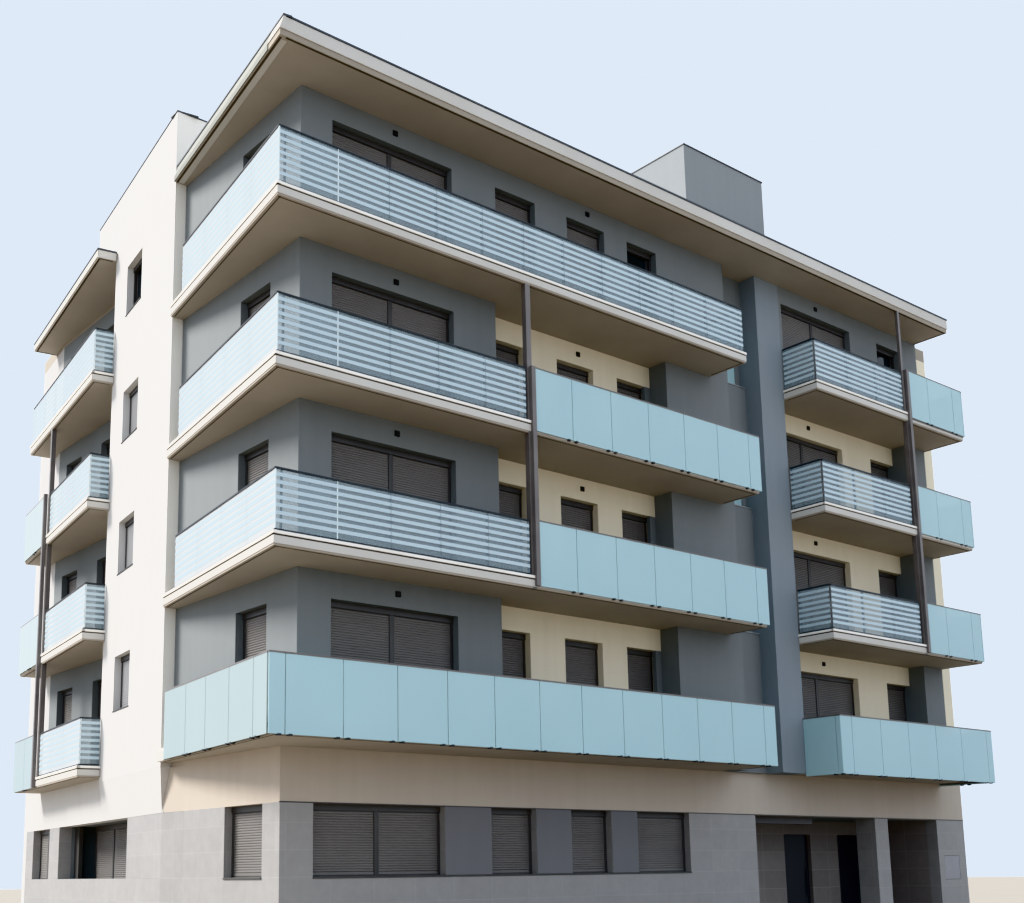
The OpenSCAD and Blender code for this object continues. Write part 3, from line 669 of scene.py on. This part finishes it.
# A metal trim closes the top of the tiles
block(parts[0], (tiled_side_x - 0.008, tiled_face - 0.008, tile_z - 0.006),
      (front_end, tiled_face + 0.01, tile_z + 0.014), 0.0)
finish_windows("ground", parts, ["ground_shutters"])
panels = bmesh.new()
for left, right in zip(ground_openings, ground_openings[1:]):
    block(panels, (left[0][1] + 0.002, tiled_face - 0.006, sill_z),
          (right[0][0] - 0.002, tiled_face + 0.001, tile_z - 0.006), 0.002)
panel_render = render_coat("smooth_grey_render", "#747476", "#6e6e70")
finish_piece("ground_wall_panels", panels, panel_render)


# Foot of the white block
# The white render slopes back to the tiles below the overhang. The shaded return faces above
# the balconies are painted a lighter white, as painted bounce light. The side wall's tiles and
# render are packed out at their end to run into the street line without a step.
def between(bm, low, high):
    """Adds a solid between two rings of corners"""
    rings = [[bm.verts.new(point) for point in ring] for ring in (low, high)]
    bm.faces.new(rings[0][::-1])
    bm.faces.new(rings[1])
    for i, j in zip(range(len(low)), list(range(1, len(low))) + [0]):
        bm.faces.new((rings[0][i], rings[0][j], rings[1][j], rings[1][i]))


over_z, block_top = 3.64, 17.3
block_near_y, block_far = 5.452, 9.765
side_x, inside_x, inside = 0.702, 0.95, 0.1
slope_foot, slope_head = tile_z + 0.002, over_z - 0.001
sloped = bmesh.new()
between(sloped, [(0.872, 5.7, slope_foot), street @ Vector((0.035, block_far, slope_foot)),
                 street @ Vector((inside, block_far, slope_foot)), (inside_x, 5.72, slope_foot)],
        [(0.696, block_near_y, slope_head), street @ Vector((-0.104, block_far, slope_head)),
         street @ Vector((inside, block_far, slope_head)), (inside_x, block_near_y, slope_head)])
block(sloped, (0.0405, block_far + 0.002, over_z - 0.006), (0.12, 17.3, 3.7245), 0.0, street)
finish_piece("street_band_render", sloped, white)
returns = bmesh.new()
return_front, return_back = 5.447, 5.4495
block(returns, (side_x, return_front, storey[0] + 0.002), (0.929, return_back, 15.688), 0.0)
block(returns, (side_x, return_front, roof_high + 0.05), (4.498, return_back, block_top), 0.0)
# A lighter white on the shaded fronts of the return and parapet: painted bounce light
bounce_lit_white = render_coat("white_render_painted_bounce_light", "#efebe2", "#e8e3d9")
finish_piece("white_return_render", returns, bounce_lit_white)
for name, paint, slot, low, high in (
        ("packed_side_render", band_cream_painted_shade, "cream_render", tile_z + 0.001, over_z - 0.002),
        ("packed_side_tiles", street_tile, "grey_tile", 0.152, tile_z - 0.001)):
    packing = bmesh.new()
    ring = [(0.9295, 4.9), (0.874, 5.703), (inside_x, 5.703), (inside_x, 4.9)]
    between(packing, [(x, y, low) for x, y in ring], [(x, y, high) for x, y in ring])
    finish_piece(name, packing, paint)


# Windows of the side street
# Deep set windows in the white block, shuttered doors on the left bay's balconies, and folding
# shutters in front of the wide window of the ground floor balcony.
white_opening, white_sill_above = (-8.83, -7.70), 1.11
left_wall_x, left_openings = 2.24, [(-12.32, -11.15), (-14.50, -13.54)]
end_face, end_opening = 0.04, (-16.28, -14.56)
ledge_z, loggia_back, loggia_doors = 0.655, 1.3, (-11.9, -8.3)
folding_face, folding_leaves = 0.75, (-13.1, -10.1)
white_parts = [bmesh.new() for _ in range(3)]
parts = [bmesh.new() for _ in range(3)]
for k, level in enumerate(storey):
    shuttered(white_parts, street_facing, block_face, white_opening,
              (level + white_sill_above, level + head_above), 1, 1.0 if k == 3 else 0.0)
    block(white_parts[0],
          (block_face - 0.02, -white_opening[1] - 0.02, level + white_sill_above - 0.02),
          (block_face + 0.17, -white_opening[0] + 0.02, level + white_sill_above + 0.002),
          0.004, street)
    for across in left_openings:
        shuttered(parts, left_facing, left_wall_x, across,
                  (level + foot_above, level + head_above))
shuttered(parts, street_facing, end_face, end_opening, (sill_z, tile_z), 2, 0.0, 0.2)
shuttered(parts, street_facing, loggia_back, loggia_doors, (ledge_z, 2.54), 3, 0.3, 0.08)
shuttered(parts, street_facing, folding_face, folding_leaves, (ledge_z, tile_z - 0.005), 2, 0.0,
          0.06)
block(parts[0], (0.42, 13.2, ledge_z), (0.52, 13.595, tile_z - 0.005), 0.004, street)
finish_windows("white_block", white_parts, [], pale_paint)
finish_windows("side_street", parts, ["street_windows"])


# Windows of the rear
# Plain windows with roller shutters, raised by different amounts, over projecting metal sills
# fixed to the wall.
rear_facing = Matrix.Rotation(math.pi, 4, "Z")
rear_y, rear_window_w = 17.2, 1.2
rear_columns = (13.2, 15.6, 18.0, 20.0)
raised_shares = (0.0, 0.45, 0.0, 0.25, 0.6)
parts = [bmesh.new() for _ in range(3)]
for k, level in enumerate([None] + storey):
    foot, head = (sill_z, tile_z) if level is None else (level + 0.9, level + head_above)
    for i, x in enumerate(rear_columns):
        raised = raised_shares[(k + 2 * i) % len(raised_shares)]
        shuttered(parts, rear_facing, -rear_y, (-x - rear_window_w, -x), (foot, head), 1, raised)
        block(parts[0], (x - 0.05, rear_y - 0.04, foot - 0.035),
              (x + rear_window_w + 0.05, rear_y + 0.05, foot), 0.004)
finish_windows("rear", parts, ["rear_windows"])


# Frosted glass
# Etched laminated panes of about 1.09 m, clamped outside the slab edges, with a steel bar behind
# each joint, a slim rail on top and a steel post at the end of a run. A grey strip behind their
# foot shows through as a darker band: painted shade of the slab edge behind the glass. The low
# windows of the recess have the same glass.
def etched_glass(name, light, deep, alpha):
    """Laminated glass etched on its outer face"""
    made, tree = blank(name)
    place = add(tree, "ShaderNodeTexCoord").outputs["Object"]
    drift = add(tree, "ShaderNodeTexNoise", {"Vector": place, "Scale": 0.5, "Detail": 3.0})
    tone = add(tree, "ShaderNodeMix", {0: drift.outputs[0], 6: linear(deep),
                                       7: linear(light)}, data_type="RGBA")
    etch = add(tree, "ShaderNodeTexNoise", {"Vector": place, "Scale": 120.0})
    relief = add(tree, "ShaderNodeBump", {"Height": etch.outputs[0], "Strength": 0.05,
                                          "Distance": 0.001})
    shader = add(tree, "ShaderNodeBsdfPrincipled",
                 {"Base Color": tone.outputs[2], "Roughness": 0.28, "IOR": 1.5,
                  "Alpha": alpha, "Normal": relief.outputs[0]})
    add(tree, "ShaderNodeOutputMaterial", {"Surface": shader.outputs[0]})
    return made


# Etching makes the glass milky and half matt. On the sunlit side street the glass has greyer
# copies whose colour is set for the sun on them: painted light, darkest at the first storey.
frosted = etched_glass("etched_laminated_glass", "#b4d3d9", "#aacad1", 0.84)
frosted_sunlit_low = etched_glass("sunlit_copy_etched_glass_low", "#98a6a6", "#909e9f", 0.9)
frosted_sunlit_high = etched_glass("sunlit_copy_etched_glass_high", "#b6c3c4", "#aebabb", 0.9)
# Painted steel has a low even sheen
glass_steel = plain_finish("dark_glass_post_steel", "#36393d", "#2f3236", 0.45, 0.3)
post_grey = plain_finish("painted_post_steel", "#77726f", "#6d6866", 0.45, 0.3)
coat(post_grey, "hanger_posts", "glass_rails")

pane_t, joint_gap = 0.017, 0.012
bar_w = 0.024
clamp_w, clamp_apart = 0.07, 0.2
shade_strip_foot, shade_strip_head = 0.03, 0.23
frosted_steel = bmesh.new()
frosted_panes = bmesh.new()
sunlit_low_panes = bmesh.new()
sunlit_high_panes = bmesh.new()
frosted_clamps = bmesh.new()


def frosted_run(joints, low, high, turn=plain, face=-0.05, panes=frosted_panes):
    """Panes between joints along x, clamps at their foot, bars behind the joints, top rail"""
    for start, end in zip(joints, joints[1:]):
        block(panes, (start + joint_gap / 2, face, low),
              (end - joint_gap / 2, face + pane_t, high), 0.003, turn)
    for x in joints[1:-1]:
        block(frosted_steel, (x - bar_w / 2, face + 0.022, low + 0.02),
              (x + bar_w / 2, face + 0.03, high), 0.002, turn)
        for middle in (x - clamp_apart / 2, x + clamp_apart / 2):
            block(frosted_clamps, (middle - clamp_w / 2, face - 0.004, low - 0.02),
                  (middle + clamp_w / 2, face + 0.07, low + 0.012), 0.003, turn)
    block(frosted_steel, (joints[0], face - 0.004, high - 0.004),
          (joints[-1], face + pane_t + 0.012, high + 0.026), 0.003, turn)
    # A grey strip behind the panes' foot: painted shade of the slab edge behind the glass
    block(frosted_steel, (joints[0] + 0.02, face + 0.019, low + shade_strip_foot),
          (joints[-1] - 0.02, face + 0.0215, low + shade_strip_head), 0.0, turn)


# Joints along each run, and how far its glass reaches below and above each floor
frosted_first = [-0.235, 0.07, 1.156, 2.243, 3.305, 4.365, 5.442, 6.506, 7.604, 8.708, 9.76,
                 10.83, 11.88, 12.27]
frosted_upper = [5.535, 6.50, 7.58, 8.67, 9.76, 10.83, 11.88, 12.27]
bay_first = [14.6, 15.03, 16.17, 17.31, 18.50, 19.64, 20.83, 21.1]
bay_upper = [18.56, 19.42, 20.60, 21.06]
street_first = [-4.97, -3.77, -2.74, -1.62, -0.55, 0.02]
corner_reach = [(-0.23, 1.04), (-0.185, 1.05), (-0.185, 1.06), None]
bay_reach = [(-0.30, 1.01), (-0.185, 1.05), (-0.15, 1.08), (-0.11, 1.13)]
for k, level in enumerate(storey):
    if k < 3:
        low, high = [level + step for step in corner_reach[k]]
        frosted_run(frosted_upper if k else frosted_first, low, high)
        frosted_run([-0.05, 0.95], low, high, right_facing, -low_end - 0.05)
        frosted_run([-15.75, -14.6, -13.58], low, high, street_facing, -left_out - 0.05,
                    sunlit_high_panes if k else sunlit_low_panes)
    if k == 0:
        frosted_run(street_first, low, high, street_facing, -side_out - 0.085, sunlit_low_panes)
    low, high = [level + step for step in bay_reach[k]]
    if k == 0:
        frosted_run([-0.95, -0.08, 0.05], low, high, left_facing, bay_start - 0.05)
    frosted_run(bay_upper if k else bay_first, low, high)
    frosted_run([-0.05, 0.75, 1.5], low, high, right_facing, -bay_end - 0.05)
    if k > 0:
        block(frosted_panes, (12.81, recess_y + 0.16, level + 0.05),
              (13.59, recess_y + 0.17, level + 1.08), 0.0)
# The posts at the ends of the runs carry on from slab to slab
for turn, start, end, out, foot, head in (
        (plain, 5.43, 5.53, 0.075, storey[1] - 0.19, storey[2] + 1.09),
        (plain, 18.45, 18.555, 0.075, storey[1] - 0.19, storey[3] + 1.15),
        (street_facing, -13.575, -13.465, left_out + 0.1, storey[0] - 0.23, storey[2] + 1.09)):
    block(frosted_steel, (start, -out, foot), (end, -out + 0.09, head), 0.004, turn)
finish_piece("frosted_panes", frosted_panes, frosted,
             ["corner_glass", "right_glass"])
finish_piece("frosted_sunlit_low_panes", sunlit_low_panes, frosted_sunlit_low)
finish_piece("frosted_sunlit_high_panes", sunlit_high_panes, frosted_sunlit_high)
finish_piece("frosted_glass_clamps", frosted_clamps, glass_steel)
finish_piece("frosted_glass_steel", frosted_steel, post_grey)


# Striped glass
# Clear panes with seven etched bands, standing on the slab edge in front of slim steel posts
# that show only between the bands, under a flat handrail. The panes meet with open polished
# edges, and mitred without a post at the street corner.
def float_glass(name, light, deep, roughness, alpha):
    """Float glass, clear or with an etched face"""
    made, tree = blank(name)
    place = add(tree, "ShaderNodeTexCoord").outputs["Object"]
    drift = add(tree, "ShaderNodeTexNoise", {"Vector": place, "Scale": 0.6, "Detail": 3.0})
    tone = add(tree, "ShaderNodeMix", {0: drift.outputs[0], 6: linear(deep),
                                       7: linear(light)}, data_type="RGBA")
    shader = add(tree, "ShaderNodeBsdfPrincipled",
                 {"Base Color": tone.outputs[2], "Roughness": roughness, "IOR": 1.5,
                  "Alpha": alpha})
    add(tree, "ShaderNodeOutputMaterial", {"Surface": shader.outputs[0]})
    return made


# Clear glass is glossy and nearly colourless. On the sunlit side street it is whiter and denser:
# some dust, with painted sunlight and sky reflection. The bands are etched and half matt, and the
# cut edges are polished and pale, a painted highlight where they catch the light.
clear = float_glass("clear_float_glass", "#a6b9c1", "#9cb0b9", 0.05, 0.3)
clear_sunlit = float_glass("float_glass_painted_sun_and_sky", "#dfe3e4", "#d6dbdd", 0.2, 0.5)
etched = float_glass("etched_glass_bands", "#c0d1d9", "#b7c9d2", 0.35, 0.95)
polished_edge_highlight = plain_finish("glass_edge_painted_highlight", "#dbe6e8", "#cfdcdf", 0.2, size=0.5)

clear_panes = bmesh.new()
street_panes = bmesh.new()
bands = bmesh.new()
glass_edges = bmesh.new()
striped_steel = bmesh.new()
band_pitch, band_h, band_first, band_count = 0.127, 0.064, 0.153, 7
clear_t, pane_gap = 0.012, 0.005
pane_foot, pane_head = 0.02, 1.04
glass_post_w = 0.028


def striped_run(joints, posts, level, turn=plain, face=0.03):
    """Clear panes with etched bands, posts behind them, base channel and handrail"""
    panes = street_panes if turn == street_facing else clear_panes
    for start, end in zip(joints, joints[1:]):
        block(panes, (start + pane_gap, face, level + pane_foot),
              (end - pane_gap, face + clear_t, level + pane_head), 0.0, turn)
        for i in range(band_count):
            foot = level + band_first + i * band_pitch
            block(bands, (start + pane_gap, face - 0.002, foot),
                  (end - pane_gap, face + 0.002, foot + band_h), 0.0, turn)
    for x in posts:
        block(striped_steel, (x - glass_post_w / 2, face + 0.02, level),
              (x + glass_post_w / 2, face + 0.06, level + pane_head), 0.002, turn)
    block(striped_steel, (joints[0], face - 0.012, level + pane_head - 0.005),
          (joints[-1], face + 0.045, level + pane_head + 0.03), 0.004, turn)
    block(striped_steel, (joints[0], face - 0.004, level + 0.008),
          (joints[-1], face + 0.03, level + 0.05), 0.002, turn)


def polished_edge(x, level, turn=plain, face=0.03):
    """The lit open edge of a pane"""
    block(glass_edges, (x - 0.006, face - 0.003, level + 0.05),
          (x + 0.006, face + clear_t, level + pane_head - 0.005), 0.0, turn)


# Joints along each run; a post stands behind most of them
striped_top = [-0.10, 1.09, 2.18, 3.26, 4.36, 5.40, 6.47, 7.54, 8.65, 9.69, 10.77, 12.0]
top_posts = [0.03] + striped_top[2:-1] + [11.93]
striped_low = striped_top[:5] + [5.36]
low_posts = [0.03] + striped_low[2:]
striped_bay = [14.7, 15.97, 17.2, 18.34]
striped_street = [-4.9, -3.68, -2.46, -1.24, -0.014]
striped_left = [-13.32, -12.2, -11.1, -9.69]
striped_left_top = [-15.7, -14.56, -13.44, -12.3, -11.15, -9.69]
for k, level in enumerate(storey[1:], 1):
    if k == 3:
        striped_run(striped_top, top_posts, level)
        striped_run([0.07, 1.0], [0.1], level, right_facing, -corner_end + 0.03)
    else:
        striped_run(striped_low, low_posts, level)
    striped_run(striped_street, striped_street[:-1], level, street_facing,
                -side_out + 0.03)
    polished_edge(1.09, level)
    polished_edge(-0.094, level)
    polished_edge(-0.02, level, street_facing, -side_out + 0.03)
    striped_run(striped_bay, striped_bay[1:], level)
    striped_run([-0.93, -0.07], [-0.9], level, left_facing, bay_start + 0.03)
for k, level in enumerate(storey):
    joints = striped_left_top if k == 3 else striped_left
    striped_run(joints, joints[:-1], level, street_facing, -left_out + 0.03)
    striped_run([-left_out + 0.04, block_face - 0.02], [block_face - 0.05], level, street,
                left_near + 0.03)
    polished_edge(-left_out + 0.05, level, street, left_near + 0.03)
finish_piece("striped_clear_panes", clear_panes, clear, ["left_glass"])
finish_piece("striped_street_panes", street_panes, clear_sunlit)
finish_piece("striped_etched_bands", bands, etched)
finish_piece("striped_glass_edges", glass_edges, polished_edge_highlight)
finish_piece("striped_glass_steel", striped_steel, glass_steel)


# Vents and meter hatch
# Square black wall vents near the ceilings, moulded in half matt plastic and pressed into the
# render, and the steel hatch of the meter cupboard in the end pier, powder coated light grey.
vent_r, vent_face_r, vent_t = 0.074, 0.066, 0.03
vent_plastic = plain_finish("black_vent_plastic", "#1c1c1d", "#262627", 0.5)
vents = bmesh.new()
corner_vents = [(3.05, grey_y, z) for z in (6.5, 9.5, 12.46, 15.5)]
other_vents = [(8.18, grey_y, 15.5), (8.26, front_y, 12.5), (8.26, front_y, 9.5),
               (16.17, bay_top_y, 15.48), (16.36, front_y, 12.54), (16.36, front_y, 9.54),
               (16.36, front_y, 6.5)]
for x, y, z in corner_vents + other_vents:
    made = bmesh.ops.create_cone(
        vents, cap_ends=True, segments=4, radius1=vent_r, radius2=vent_face_r, depth=vent_t,
        matrix=Matrix.Translation((x, y - 0.014, z)) @ Matrix.Rotation(math.pi / 2, 4, "X")
        @ Matrix.Rotation(math.pi / 4, 4, "Z"))
    caps = [f for f in {f for v in made["verts"] for f in v.link_faces}
            if f.calc_center_median().y < y - 0.02]
    bmesh.ops.inset_region(vents, faces=caps, thickness=0.01, depth=-0.01)
finish_piece("wall_vents", vents, vent_plastic)

hatch_paint = plain_finish("powder_coated_hatch", "#949396", "#8b8a8d", 0.45, 0.1, 0.5)
coat(hatch_paint, "meter_hatch")


# Copings of the white block and of the stair head
# Dark zinc sheet folded over the parapets and over the top of the stair head, and the lacquered
# metal door through which the stair head opens to the roof.
parapet_foot, parapet_head = block_top - 0.005, block_top + 0.03
stair_coping_foot, stair_coping_head = 18.895, 18.93
coping = bmesh.new()
block(coping, (block_face - 0.015, 5.49, parapet_foot), (0.355, 11.345, parapet_head), 0.004,
      street)
block(coping, (0.3, 11.015, parapet_foot), (3.515, 11.345, parapet_head), 0.004, street)
block(coping, (0.69, 5.435, parapet_foot), (4.515, 5.765, parapet_head), 0.004)
block(coping, (12.16, 1.58, stair_coping_foot), (15.19, 5.62, stair_coping_head), 0.004)
finish_piece("parapet_copings", coping, flashing_metal)
door_start, door_end, door_foot, door_head = 13.2, 14.15, 16.05, 18.15
door_frame_w, door_frame_h = 0.06, 0.07
door_back, leaf_face, frame_face = 5.598, 5.64, 5.66
stair_door = bmesh.new()
block(stair_door, (door_start, door_back, door_foot + 0.01), (door_end, leaf_face, door_head),
      0.004)
for x in (door_start - door_frame_w, door_end):
    block(stair_door, (x, door_back, door_foot),
          (x + door_frame_w, frame_face, door_head + door_frame_h), 0.004)
block(stair_door, (door_start - door_frame_w, door_back, door_head),
      (door_end + door_frame_w, frame_face, door_head + door_frame_h), 0.004)
finish_piece("stair_head_door", stair_door, frame_paint)
